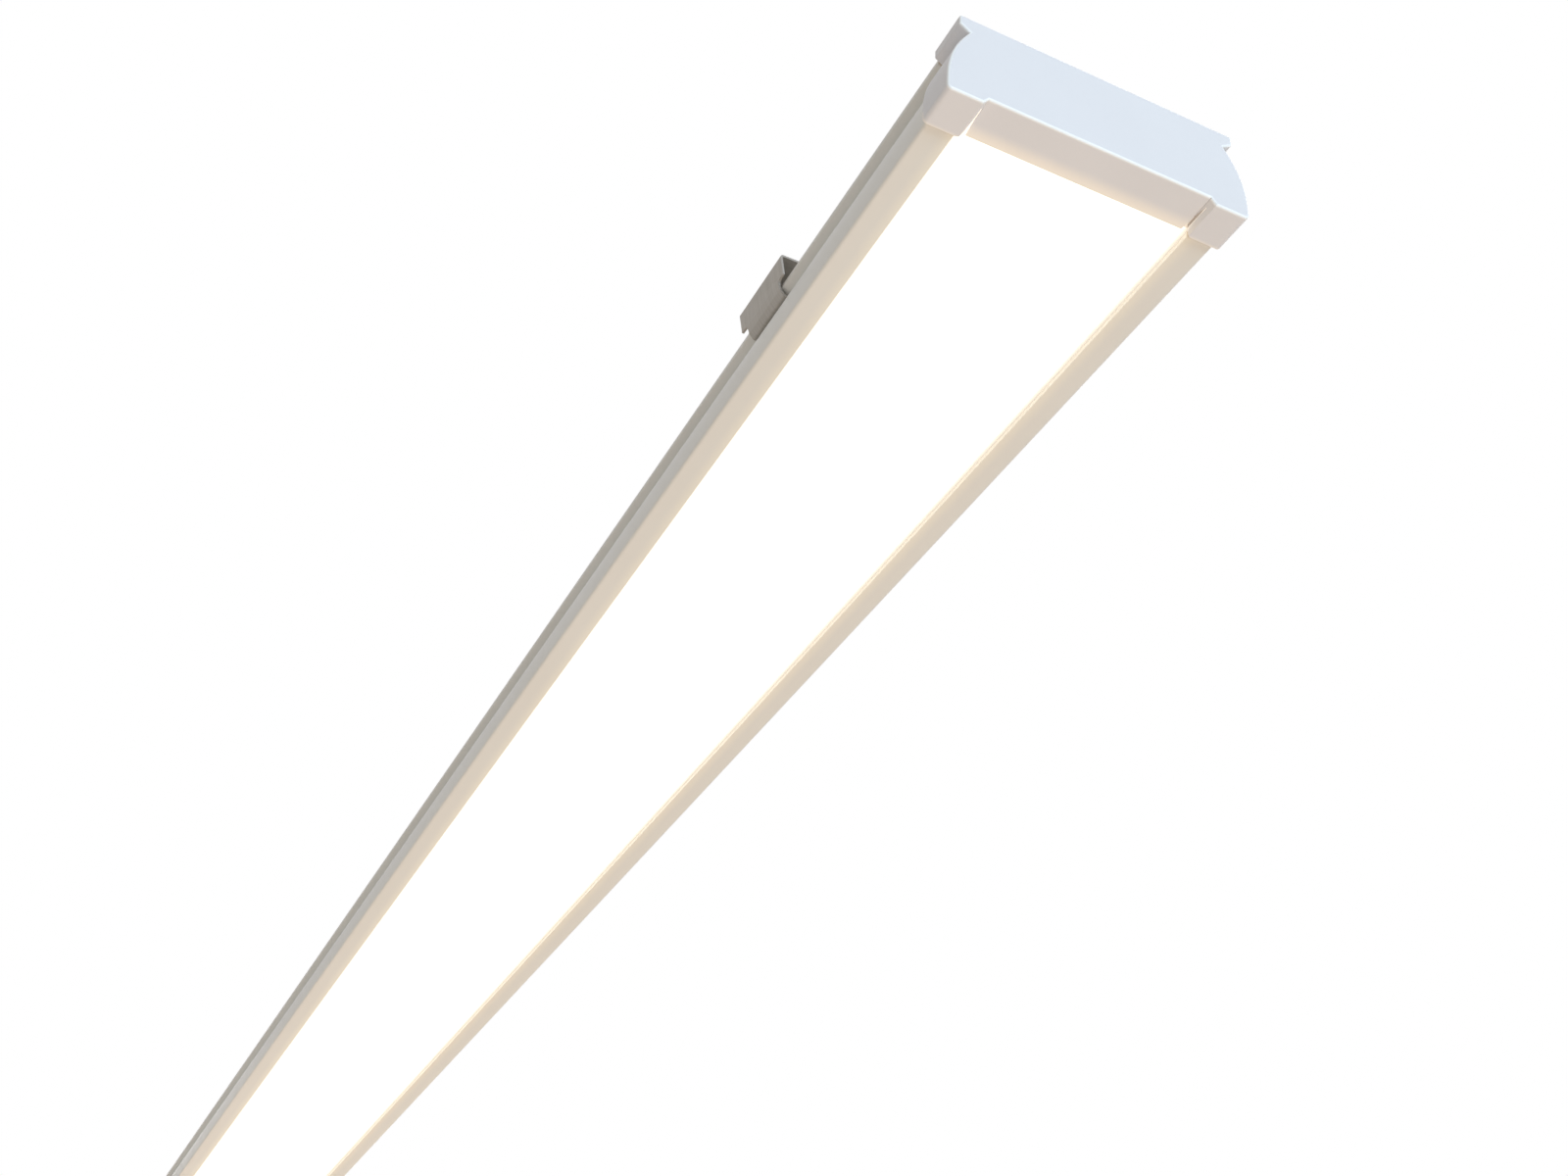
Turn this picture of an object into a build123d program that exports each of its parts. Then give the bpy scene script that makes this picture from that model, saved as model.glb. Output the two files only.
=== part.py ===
from build123d import *
import math
import os

# LED linear light: a slim ceiling batten that hangs on two spring clips.
# Millimetres. X runs along the light, Z is up, and the origin lies on the ceiling plane,
# midway between the clips. Heights in the names below count from the light's lowest face.

os.makedirs("parts", exist_ok=True)

# Overall size, over the end caps
light_length = 1200.0
light_width = 75.0
light_height = 25.0

# Side profile that the end caps and the housing share
bulge_radius = 28.0
bulge_height = 4.2
groove_drop = 4.5
lip_setback = 2.7
lip_thickness = 2.7
lip_round = 0.5

# End caps
cap_depth = 10.8
cap_wall = 1.0
cap_fit = 0.2
cap_end_wall = 2.0
cap_corner_round = 1.2
cap_rim_round = 0.6
block_width = 8.6
block_round = 1.6
step_run = 1.3
panel_rise = 1.6
panel_thickness = 0.9
slit_setback = 0.7
slit_width = 0.95
slit_tip = 0.25
slit_start = 2.6
peg_radius = 1.5
peg_length = 12.0

# Housing, an aluminium extrusion
housing_wall = 1.3
rail_width = 6.9
rail_thickness = 1.5
rail_round = 0.8
ledge_setback = 1.0
ledge_thickness = 1.2
rib_depth = 3.5
rib_thickness = 1.0
port_side_gap = 3.5
port_radius = 2.6
port_drop = 2.0
port_slit = 1.4
port_fit = 0.2

# Diffuser, an opal sheet in the rails' grooves
diffuser_thickness = 1.5
diffuser_grip = 3.7
diffuser_fit = 0.15
diffuser_side_fit = 0.3

# Gear tray, a plate in the housing's ribs, as low as the driver needs
gear_headroom = 0.8
tray_thickness = 1.0
tray_fit = 0.15
tray_side_fit = 0.3
bush_bore = 3.0
bush_wall = 0.9
bush_flange = 0.5
bush_flange_thickness = 0.8
bush_fit = 0.1

# LED boards, in two rows under the tray
row_gap = 9.0
board_width = 20.0
board_thickness = 1.2
board_gap = 2.0
board_end_gap = 15.0
led_pitch = 12.5
led_length = 3.5
led_width = 2.8
led_height = 0.7
lead_inset = 10.0
lead_offset = 1.6
lead_radius = 0.7
connector_length = 6.0
connector_width = 5.0
connector_height = 2.6
connector_grip = 3.0
connector_edge_gap = 1.0
socket_depth = 1.6
link_length = 12.0

# Moulded clips that hold the LED boards up
hook_count = 3
hook_inset = 120.0
hook_length = 6.0
hook_stem = 1.2
hook_reach = 1.5
hook_foot = 1.0
hook_head = 1.2
hook_head_reach = 2.5
hook_fit = 0.2

# Small moulded parts
edge_break = 0.5

# Driver, on the tray
driver_length = 170.0
driver_width = 32.0
driver_height = 9.2
driver_wall = 1.0
cover_thickness = 1.0
cover_lip = 0.8
cover_fit = 0.15
ear_length = 8.0
ear_width = 8.0
ear_thickness = 1.5
lead_opening_gap = 0.6
boss_width = 4.0
boss_height = 1.0
boss_inset = 5.0
circuit_thickness = 1.2
circuit_fit = 0.5
transformer_length = 18.0
transformer_width = 15.0
transformer_headroom = 0.7
winding_length = 10.0
winding_bulge = 1.6
winding_drop = 0.5
choke_width = 9.0
choke_corner = 1.5
choke_height = 4.0
choke_core = 3.2
choke_step = 0.5
capacitor_radius = 2.0
capacitor_length = 13.0
capacitor_count = 3
capacitor_spacing = 5.5

# Screws
screw_radius = 1.5
screw_length = 3.0
screw_head_radius = 2.8
screw_head_height = 1.8
screw_fit = 0.15
earth_screw_radius = 1.9
earth_head_radius = 3.5
earth_head_height = 2.4
earth_nut_flats = 7.0
earth_nut_height = 3.2
earth_tag_radius = 3.6
earth_tag_thickness = 0.8
earth_barrel_radius = 1.7
earth_barrel_length = 6.0
earth_gap = 35.0

# Terminal block, behind the far end cap
terminal_inset = 45.0
terminal_length = 20.0
terminal_width = 25.0
terminal_height = 9.0
pole_pitch = 7.5
pole_height = 2.2
entry_radius = 1.6
entry_depth = 7.0
button_width = 4.0
button_height = 2.6
button_length = 6.0
button_proud = 2.0
button_travel = 1.5
button_level = 6.6
button_fit = 0.25
foot_length = 3.0
foot_width = 4.0
foot_spacing = 10.0
foot_reach = 0.8

# Mains wires and their saddles
wire_radius = 1.0
wire_fit = 0.2
wire_insert = 3.6
saddle_length = 6.0
saddle_wall = 1.4
saddle_count = 2
saddle_spacing = 120.0

# Cable inlet in the far end cap
inlet_bore = 3.2
grommet_wall = 0.9
grommet_fit = 0.1
grommet_flange = 1.4
grommet_tail = 0.5
grommet_flange_thickness = 1.2

# Spring clips
clip_inset = 98.0
clip_sheet = 0.6
clip_gap = 4.4
clip_width = 24.0
clip_bend = 0.3
arm_clearance = 0.6
arm_flare = 1.5
arm_curl = 0.5
arm_curl_height = 1.0
tongue_width = 17.8
shoulder_drop = 6.3
shoulder_round = 1.2
hook_clearance = 0.5
hook_tip_gap = 1.0
hook_tip_length = 1.15
hook_tip_rise = 0.4
clip_hole_radius = 2.25
clip_hole_spacing = 40.0

# Places worked out from the sizes above
half_width = light_width / 2
light_bottom = -(clip_sheet + clip_gap + light_height)
bulge_centre = half_width - bulge_radius
lip_low = light_height - lip_thickness
groove_height = light_height - groove_drop
shell_inset = cap_wall + cap_fit
housing_length = light_length - 2 * (cap_end_wall + cap_fit)
far_end = housing_length / 2
housing_top = light_height - shell_inset
housing_ceiling = housing_top - housing_wall
rail_inner = half_width - shell_inset - rail_width
slot_bottom = shell_inset + rail_thickness
slot_top = slot_bottom + diffuser_thickness + 2 * diffuser_fit
slot_half = rail_inner + diffuser_grip + diffuser_side_fit
ledge_top = slot_top + ledge_thickness
cavity_radius = bulge_radius - shell_inset - housing_wall
tray_top = housing_ceiling - gear_headroom - driver_height
tray_height = tray_top - tray_thickness
inlet_height = (tray_top + housing_ceiling) / 2
port_height = housing_ceiling - port_drop
port_bore = peg_radius + port_fit
block_inner = half_width - block_width
panel_half = block_inner - step_run
panel_top = panel_rise + panel_thickness
clip_top = light_height + clip_gap + clip_sheet


# Outer side of the section at a height, for a skin set in by the given inset
def side_at(height, inset):
    return bulge_centre + math.sqrt((bulge_radius - inset) ** 2 - (height - bulge_height) ** 2)


port_offset = side_at(port_height, shell_inset + housing_wall) - port_radius - port_side_gap
tray_half = side_at(tray_top + tray_fit, shell_inset + housing_wall) - tray_side_fit
rib_inner = side_at(tray_height, shell_inset + housing_wall) - rib_depth
groove_y = side_at(groove_height, shell_inset)
lip_half = half_width - lip_setback - shell_inset
board_length = far_end - board_gap / 2 - board_end_gap
board_face = tray_height - board_thickness
board_inner = row_gap / 2
board_outer = board_inner + board_width
row_offset = board_inner + board_width / 2
hook_spacing = (board_length - 2 * hook_inset) / (hook_count - 1)
lead_x = board_gap / 2 + lead_inset
link_x = -(board_gap / 2 + board_length - connector_edge_gap - connector_length / 2)
driver_in = lead_x + driver_length / 2
circuit_bottom = tray_top + driver_wall + boss_height
circuit_top = circuit_bottom + circuit_thickness
cover_bottom = tray_top + driver_height - cover_thickness
transformer_height = cover_bottom - circuit_top - transformer_headroom
ear_x = driver_length / 2 + ear_length / 2
terminal_x = far_end - terminal_inset
terminal_front = terminal_x + terminal_length / 2
terminal_back = terminal_x - terminal_length / 2
earth_x = terminal_back - earth_gap
barrel_start = earth_x + earth_tag_radius
saddle_x = (driver_in + terminal_back) / 2
wire_level = tray_top + pole_height
wire_hole = bush_bore + bush_wall + bush_fit
poles = {"live": pole_pitch, "earth": 0.0, "neutral": -pole_pitch}
sides = {"left": 1, "right": -1}
ends = {"near": -1, "far": 1}


# Upright plane across the light at a place along it, with local Y as height
def section(x):
    return Plane(origin=(x, 0, light_bottom), x_dir=(0, 1, 0), z_dir=(1, 0, 0))


# Level plane at a height
def level(height):
    return Plane.XY.offset(light_bottom + height)


# Point of the light from its place along, across and up
def spot(x, y, height):
    return (x, y, light_bottom + height)


def save(piece, name):
    piece.part.label = name
    export_step(piece.part, f"parts/{name}.step")


# Right half of the section: the given bottom points, the bulged side, the groove and the lip
def draw_half(inset, corner, bottom):
    side = half_width - inset
    groove = (side_at(groove_height, inset), groove_height)
    lip = half_width - lip_setback - inset
    top = light_height - inset
    sweep_angle = math.degrees(math.asin((groove_height - bulge_height) / (bulge_radius - inset)))
    Polyline(*bottom, (side - corner, inset))
    CenterArc((side - corner, inset + corner), corner, -90, 90)
    Line((side, inset + corner), (side, bulge_height))
    CenterArc((bulge_centre, bulge_height), bulge_radius - inset, 0, sweep_angle)
    FilletPolyline(groove, (lip, lip_low), (lip, top), (0, top), radius=lip_round)
    Line((0, top), bottom[0])


# Housing: one extrusion with lips, grooves, rails, diffuser slots, tray ribs and screw ports
with BuildPart() as housing:
    with BuildSketch(section(-far_end)):
        with BuildLine():
            draw_half(shell_inset, rail_round, [(0, shell_inset)])
        make_face()
        with BuildLine():
            low_angle = math.degrees(math.asin((ledge_top - bulge_height) / cavity_radius))
            high_angle = math.degrees(math.asin((housing_ceiling - bulge_height) / cavity_radius))
            wall_arc = CenterArc(
                (bulge_centre, bulge_height), cavity_radius, low_angle, high_angle - low_angle
            )
            Polyline(wall_arc @ 1, (0, housing_ceiling), (0, ledge_top), wall_arc @ 0)
        make_face(mode=Mode.SUBTRACT)
        rib_bottom = tray_height - tray_fit - rib_thickness
        rib_top = tray_top + tray_fit + rib_thickness
        with Locations((rib_inner, rib_bottom)):
            Rectangle(
                rib_depth + housing_wall / 2, rib_top - rib_bottom, align=(Align.MIN, Align.MIN)
            )
        with Locations((0, tray_height - tray_fit)):
            Rectangle(
                tray_half + tray_side_fit,
                tray_thickness + 2 * tray_fit,
                align=(Align.MIN, Align.MIN),
                mode=Mode.SUBTRACT,
            )
        with Locations((0, slot_bottom)):
            Rectangle(
                slot_half, slot_top - slot_bottom, align=(Align.MIN, Align.MIN), mode=Mode.SUBTRACT
            )
        with Locations((0, 0)):
            Rectangle(rail_inner, slot_top, align=(Align.MIN, Align.MIN), mode=Mode.SUBTRACT)
        with Locations((0, slot_top)):
            Rectangle(
                rail_inner + ledge_setback,
                ledge_thickness,
                align=(Align.MIN, Align.MIN),
                mode=Mode.SUBTRACT,
            )
        with Locations((port_offset, port_height)):
            Circle(port_radius)
            Circle(port_bore, mode=Mode.SUBTRACT)
            Rectangle(
                port_slit, port_radius + port_slit, align=(Align.CENTER, Align.MAX), mode=Mode.SUBTRACT
            )
        mirror(about=Plane.YZ)
    extrude(amount=housing_length)
save(housing, "housing")

# Diffuser: flat sheet whose long edges slide in the rails' slots
with BuildPart() as diffuser:
    with BuildSketch(section(-far_end)):
        with Locations((0, slot_bottom + diffuser_fit)):
            Rectangle(
                2 * (rail_inner + diffuser_grip),
                diffuser_thickness,
                align=(Align.CENTER, Align.MIN),
            )
    extrude(amount=housing_length)
save(diffuser, "diffuser")


# End cap: collar round the housing, corner blocks over the rails, centre panel and push pegs
def make_end_cap(end):
    face_x = -light_length / 2
    with BuildPart() as cap:
        with BuildSketch(section(face_x)):
            with BuildLine():
                panel_points = [(0, panel_rise), (panel_half, panel_rise), (block_inner, 0)]
                draw_half(0, cap_corner_round, panel_points)
            make_face()
            mirror(about=Plane.YZ)
        extrude(amount=cap_depth)
        fillet(cap.faces().sort_by(Axis.X)[0].edges(), radius=cap_rim_round)
        with BuildSketch(section(face_x + cap_end_wall)):
            with BuildLine():
                grip = rail_inner - cap_fit
                draw_half(cap_wall, rail_round, [(0, panel_top), (grip, panel_top), (grip, cap_wall)])
            make_face()
            mirror(about=Plane.YZ)
        extrude(amount=cap_depth, mode=Mode.SUBTRACT)
        # slits between the blocks and the panel, which open towards the diffuser
        with BuildSketch(level(0)):
            with BuildLine():
                back = face_x + cap_depth
                outer = block_inner - slit_setback
                Polyline(
                    (back - block_round, outer),
                    (face_x + slit_start, outer),
                    (face_x + slit_start, outer - slit_tip),
                    (back, outer - slit_width),
                    (back, outer + block_round),
                )
                RadiusArc((back, outer + block_round), (back - block_round, outer), block_round)
            make_face()
            mirror(about=Plane.XZ)
        extrude(amount=panel_top, mode=Mode.SUBTRACT)
        with BuildSketch(section(face_x + cap_end_wall)):
            with Locations((port_offset, port_height), (-port_offset, port_height)):
                Circle(peg_radius)
        extrude(amount=peg_length)
        if end == "far":
            mirror(about=Plane.YZ, mode=Mode.REPLACE)
            with BuildSketch(section(-face_x)):
                with Locations((0, inlet_height)):
                    Circle(inlet_bore + grommet_wall + grommet_fit)
            extrude(amount=-cap_end_wall, mode=Mode.SUBTRACT)
    return cap


for end in ends:
    save(make_end_cap(end), f"end_cap_{end}")

# Rubber grommet that lines the cable inlet
with BuildPart() as cable_grommet:
    outer_face = light_length / 2
    inner_face = outer_face - cap_end_wall
    neck = inlet_bore + grommet_wall
    flange = grommet_flange_thickness
    axis_z = light_bottom + inlet_height
    with BuildSketch(Plane.XZ):
        with BuildLine():
            Polyline(
                (inner_face - grommet_fit - flange, axis_z + inlet_bore),
                (outer_face + grommet_fit + flange, axis_z + inlet_bore),
                (outer_face + grommet_fit + flange, axis_z + neck + grommet_flange),
                (outer_face + grommet_fit, axis_z + neck + grommet_flange),
                (outer_face + grommet_fit, axis_z + neck),
                (inner_face - grommet_fit, axis_z + neck),
                (inner_face - grommet_fit, axis_z + neck + grommet_tail),
                (inner_face - grommet_fit - flange, axis_z + neck),
                close=True,
            )
        make_face()
    revolve(axis=Axis(spot(0, 0, inlet_height), (1, 0, 0)))
save(cable_grommet, "cable_grommet")

# Gear tray: plate with openings for the board clips, the driver, the terminal, the earth and the leads
with BuildPart() as gear_tray:
    with BuildSketch(section(-far_end)):
        with Locations((0, tray_height)):
            Rectangle(2 * tray_half, tray_thickness, align=(Align.CENTER, Align.MIN))
    extrude(amount=housing_length)
    with BuildSketch(level(tray_height)):
        slot_length = hook_length + 2 * hook_fit
        stem_y = board_outer + hook_fit + hook_stem / 2
        for end in ends.values():
            with Locations((end * (board_gap + board_length) / 2, 0)):
                with GridLocations(hook_spacing, 2 * stem_y, hook_count, 2):
                    Rectangle(slot_length, hook_stem + 2 * hook_fit)
                with GridLocations(hook_spacing, 1, hook_count, 1):
                    Rectangle(slot_length, 2 * (hook_stem + hook_fit))
        with Locations((lead_x, 0)):
            Circle(wire_hole)
            with GridLocations(2 * ear_x, 1, 2, 1):
                Circle(screw_radius + screw_fit)
        with Locations((terminal_x, 0)):
            with GridLocations(foot_spacing, 1, 2, 1):
                Rectangle(foot_length + 2 * screw_fit, foot_width + 2 * screw_fit)
        with Locations((earth_x, 0)):
            Circle(earth_screw_radius + screw_fit)
    extrude(amount=tray_thickness, mode=Mode.SUBTRACT)
save(gear_tray, "gear_tray")

# Rubber bush in the tray's lead hole
with BuildPart() as tray_bush:
    with BuildSketch(Plane.XZ.shift_origin((lead_x, 0, light_bottom))):
        with BuildLine():
            neck = bush_bore + bush_wall
            flange_bottom = tray_top + bush_fit
            Polyline(
                (bush_bore, tray_height),
                (neck, tray_height),
                (neck, flange_bottom),
                (neck + bush_flange, flange_bottom),
                (neck + bush_flange, flange_bottom + bush_flange_thickness),
                (bush_bore, flange_bottom + bush_flange_thickness),
                close=True,
            )
        make_face()
    revolve(axis=Axis(spot(lead_x, 0, 0), (0, 0, 1)))
save(tray_bush, "tray_bush")


# LED board: strip on the underside of the tray
def make_led_board(board_x, side):
    with BuildPart() as board:
        with BuildSketch(level(tray_height)):
            with Locations((board_x, side * row_offset)):
                Rectangle(board_length, board_width)
        extrude(amount=-board_thickness)
    return board


# LED packages along the middle of a board
def make_led_chips(board_x, side):
    with BuildPart() as chips:
        with BuildSketch(level(board_face)):
            with Locations((board_x, side * row_offset)):
                with GridLocations(led_pitch, 1, int(board_length / led_pitch) - 1, 1):
                    Rectangle(led_length, led_width)
        extrude(amount=-led_height)
    return chips


for end_name, end in ends.items():
    for side_name, side in sides.items():
        board_x = end * (board_gap + board_length) / 2
        save(make_led_board(board_x, side), f"led_board_{end_name}_{side_name}")
        save(make_led_chips(board_x, side), f"led_chips_{end_name}_{side_name}")

# Moulded clips through the tray: hooks at the boards' outer edges, a T between their inner edges
with BuildPart() as board_clips:
    stem = board_outer + hook_fit
    hook_low = board_face - hook_foot
    stem_height = tray_top + hook_head - hook_low
    for end in ends.values():
        for step in range(hook_count):
            hook_x = end * (board_gap / 2 + hook_inset + step * hook_spacing)
            with BuildSketch(section(hook_x - hook_length / 2)):
                with Locations((stem + hook_stem, hook_low)):
                    Rectangle(
                        hook_stem + hook_fit + hook_reach, hook_foot, align=(Align.MAX, Align.MIN)
                    )
                    Rectangle(hook_stem, stem_height, align=(Align.MAX, Align.MIN))
                with Locations((stem + hook_stem, tray_top)):
                    Rectangle(hook_stem + hook_head_reach, hook_head, align=(Align.MAX, Align.MIN))
                mirror(about=Plane.YZ)
                with Locations((0, hook_low)):
                    Rectangle(
                        2 * (board_inner + hook_reach), hook_foot, align=(Align.CENTER, Align.MIN)
                    )
                    Rectangle(2 * hook_stem, stem_height, align=(Align.CENTER, Align.MIN))
                with Locations((0, tray_top)):
                    Rectangle(2 * hook_head_reach, hook_head, align=(Align.CENTER, Align.MIN))
            extrude(amount=hook_length)
save(board_clips, "board_clips")

# Connectors that bridge the near and far boards of each row
with BuildPart() as board_links:
    with BuildSketch(level(board_face)):
        with GridLocations(1, 2 * (board_inner + connector_edge_gap) + connector_width, 1, 2):
            Rectangle(link_length, connector_width)
    extrude(amount=-connector_height)
    chamfer(board_links.faces().group_by(Axis.Z)[0].edges(), length=edge_break)
save(board_links, "board_links")


# Connector across both rows of boards, with sockets at the given places across the light
def make_row_connector(x, *sockets):
    with BuildPart() as connector:
        with BuildSketch(level(board_face)):
            with Locations((x, 0)):
                Rectangle(connector_length, 2 * (board_inner + connector_grip))
        extrude(amount=-connector_height)
        chamfer(connector.faces().sort_by(Axis.Z)[0].edges(), length=edge_break)
        for y in sockets:
            with BuildSketch(level(board_face)):
                with Locations((x, y)):
                    Rectangle(2 * (lead_radius + wire_fit), 2 * (lead_radius + wire_fit))
            extrude(amount=-socket_depth, mode=Mode.SUBTRACT)
    return connector


# Link between the two rows at the near end, and the lead connector under the tray's hole
save(make_row_connector(link_x), "row_link")
save(make_row_connector(lead_x, lead_offset, -lead_offset), "lead_connector")

# Tub of the driver: floor and walls, screw ears, board bosses, lead opening and wire notches
with BuildPart() as driver_case:
    tub_height = cover_bottom - tray_top
    with BuildSketch(level(tray_top)):
        with Locations((lead_x, 0)):
            Rectangle(driver_length, driver_width)
    extrude(amount=tub_height)
    with BuildSketch(level(tray_top + driver_wall)):
        with Locations((lead_x, 0)):
            Rectangle(driver_length - 2 * driver_wall, driver_width - 2 * driver_wall)
    extrude(amount=tub_height, mode=Mode.SUBTRACT)
    with BuildSketch(level(tray_top + driver_wall)):
        with Locations((lead_x, 0)):
            with GridLocations(
                driver_length - 2 * (driver_wall + boss_inset),
                driver_width - 2 * (driver_wall + boss_inset),
                2,
                2,
            ):
                Rectangle(boss_width, boss_width)
    extrude(amount=boss_height)
    with BuildSketch(level(tray_top)):
        with Locations((lead_x, 0)):
            with GridLocations(2 * ear_x, 1, 2, 1):
                Rectangle(ear_length, ear_width)
                Circle(screw_radius + screw_fit, mode=Mode.SUBTRACT)
    extrude(amount=ear_thickness)
    with BuildSketch(level(tray_top)):
        with Locations((lead_x, 0)):
            opening = 2 * (bush_bore + bush_wall + bush_flange + lead_opening_gap)
            Rectangle(opening, opening)
    extrude(amount=driver_wall, mode=Mode.SUBTRACT)
    with BuildSketch(section(driver_in)):
        with Locations(*[(poles[p], wire_level - wire_radius - wire_fit) for p in ("live", "neutral")]):
            Rectangle(2 * (wire_radius + wire_fit), tub_height, align=(Align.CENTER, Align.MIN))
    extrude(amount=-driver_wall, mode=Mode.SUBTRACT)
save(driver_case, "driver_case")

# Cover of the driver, with a lip inside the tub's walls
with BuildPart() as driver_cover:
    lip_length = driver_length - 2 * (driver_wall + cover_fit)
    lip_width = driver_width - 2 * (driver_wall + cover_fit)
    with BuildSketch(level(cover_bottom)):
        with Locations((lead_x, 0)):
            Rectangle(driver_length, driver_width)
    extrude(amount=cover_thickness)
    with BuildSketch(level(cover_bottom)):
        with Locations((lead_x, 0)):
            Rectangle(lip_length, lip_width)
            Rectangle(lip_length - 2 * cover_lip, lip_width - 2 * cover_lip, mode=Mode.SUBTRACT)
    extrude(amount=-cover_lip)
save(driver_cover, "driver_cover")

# Circuit board of the driver, on the tub's bosses
with BuildPart() as driver_board:
    with BuildSketch(level(circuit_top)):
        with Locations((lead_x, 0)):
            Rectangle(
                driver_length - 2 * (driver_wall + circuit_fit),
                driver_width - 2 * (driver_wall + circuit_fit),
            )
    extrude(amount=-circuit_thickness)
save(driver_board, "driver_board")

# Transformer: a ferrite core with a winding that bulges past it on both sides
with BuildPart() as driver_transformer:
    with BuildSketch(level(circuit_top)):
        with Locations((lead_x, 0)):
            Rectangle(transformer_length, transformer_width)
    extrude(amount=transformer_height)
    with BuildSketch(level(circuit_top)):
        with Locations((lead_x, 0)):
            RectangleRounded(
                winding_length, transformer_width + 2 * winding_bulge, winding_bulge
            )
    extrude(amount=transformer_height - winding_drop)
save(driver_transformer, "driver_transformer")

# Choke: a square block with cut corners and its round core
with BuildPart() as driver_choke:
    with BuildSketch(level(circuit_top)):
        with Locations((lead_x + driver_length / 4, 0)):
            Rectangle(choke_width, choke_width)
    extrude(amount=choke_height - choke_step)
    chamfer(driver_choke.edges().filter_by(Axis.Z), length=choke_corner)
    with BuildSketch(level(circuit_top)):
        with Locations((lead_x + driver_length / 4, 0)):
            Circle(choke_core)
    extrude(amount=choke_height)
save(driver_choke, "driver_choke")

# Capacitors lying side by side on the circuit board
with BuildPart() as driver_capacitors:
    with BuildSketch(section(lead_x - driver_length / 4)):
        with Locations((0, circuit_top + capacitor_radius)):
            with GridLocations(capacitor_spacing, 1, capacitor_count, 1):
                Circle(capacitor_radius)
    extrude(amount=capacitor_length)
save(driver_capacitors, "driver_capacitors")

# Screws through the driver's ears into the tray
with BuildPart() as driver_screws:
    with Locations(spot(lead_x, 0, tray_top + ear_thickness)):
        with GridLocations(2 * ear_x, 1, 2, 1):
            Cylinder(
                screw_head_radius,
                screw_head_height,
                align=(Align.CENTER, Align.CENTER, Align.MIN),
            )
            Cylinder(screw_radius, screw_length, align=(Align.CENTER, Align.CENTER, Align.MAX))
save(driver_screws, "driver_screws")

# Terminal block: wire entries and button pockets in front, wire sockets behind, feet below
with BuildPart() as terminal_block:
    with BuildSketch(level(tray_top)):
        with Locations((terminal_x, 0)):
            Rectangle(terminal_length, terminal_width)
    extrude(amount=terminal_height)
    chamfer(terminal_block.edges().filter_by(Axis.Z), length=edge_break)
    with BuildSketch(level(tray_top)):
        with Locations((terminal_x, 0)):
            with GridLocations(foot_spacing, 1, 2, 1):
                Rectangle(foot_length, foot_width)
    extrude(amount=-(tray_thickness + foot_reach))
    with BuildSketch(section(terminal_front)):
        with Locations(*[(y, wire_level) for y in poles.values()]):
            Circle(entry_radius)
    extrude(amount=-entry_depth, mode=Mode.SUBTRACT)
    with BuildSketch(section(terminal_front)):
        with Locations(*[(y, tray_top + button_level) for y in poles.values()]):
            Rectangle(button_width + 2 * button_fit, button_height + 2 * button_fit)
    extrude(
        amount=-(button_length - button_proud + button_travel + button_fit), mode=Mode.SUBTRACT
    )
    with BuildSketch(section(terminal_back)):
        with Locations(*[(y, wire_level) for y in poles.values()]):
            Rectangle(2 * (wire_radius + wire_fit), 2 * (wire_radius + wire_fit))
    extrude(amount=wire_insert + wire_fit, mode=Mode.SUBTRACT)
save(terminal_block, "terminal_block")


# Release button beside a wire entry, pressed along the light
def make_button(y):
    with BuildPart() as button:
        with BuildSketch(section(terminal_front + button_proud)):
            with Locations((y, tray_top + button_level)):
                Rectangle(button_width, button_height)
        extrude(amount=-button_length)
        chamfer(button.faces().sort_by(Axis.X)[-1].edges(), length=button_fit)
    return button


for pole, y in poles.items():
    save(make_button(y), f"terminal_button_{pole}")

# Earth tag: ring under the screw's head and a barrel round the wire
with BuildPart() as earth_tag:
    with BuildSketch(level(tray_top)):
        with Locations((earth_x, 0)):
            Circle(earth_tag_radius)
            Rectangle(
                earth_tag_radius + earth_barrel_length,
                2 * wire_radius,
                align=(Align.MIN, Align.CENTER),
            )
            Circle(earth_screw_radius + screw_fit, mode=Mode.SUBTRACT)
    extrude(amount=earth_tag_thickness)
    with BuildSketch(section(barrel_start)):
        with Locations((0, wire_level)):
            Circle(earth_barrel_radius)
    extrude(amount=earth_barrel_length)
    with BuildSketch(section(barrel_start)):
        with Locations((0, wire_level)):
            Circle(wire_radius + wire_fit)
    extrude(amount=earth_barrel_length, mode=Mode.SUBTRACT)
save(earth_tag, "earth_tag")

# Earth screw through the tag and the tray
with BuildPart() as earth_screw:
    with Locations(spot(earth_x, 0, tray_top + earth_tag_thickness)):
        Cylinder(
            earth_head_radius,
            earth_head_height,
            align=(Align.CENTER, Align.CENTER, Align.MIN),
        )
        Cylinder(
            earth_screw_radius,
            earth_tag_thickness + tray_thickness + earth_nut_height,
            align=(Align.CENTER, Align.CENTER, Align.MAX),
        )
save(earth_screw, "earth_screw")

# Nut of the earth screw, under the tray between the two rows of boards
with BuildPart() as earth_nut:
    with BuildSketch(level(tray_height)):
        with Locations((earth_x, 0)):
            RegularPolygon(earth_nut_flats / 2, 6, major_radius=False, rotation=30)
            Circle(earth_screw_radius + screw_fit, mode=Mode.SUBTRACT)
    extrude(amount=-earth_nut_height)
save(earth_nut, "earth_nut")


# Mains wires: straight from the terminal to the driver's notches and to the earth tag's barrel
wire_ends = {
    "live": driver_in - driver_wall,
    "neutral": driver_in - driver_wall,
    "earth": barrel_start + wire_fit,
}
for pole, wire_end in wire_ends.items():
    with BuildPart() as wire:
        with BuildSketch(section(wire_end)):
            with Locations((poles[pole], wire_level)):
                Circle(wire_radius)
        extrude(amount=terminal_back + wire_insert - wire_end)
    save(wire, f"wire_{pole}")

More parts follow.
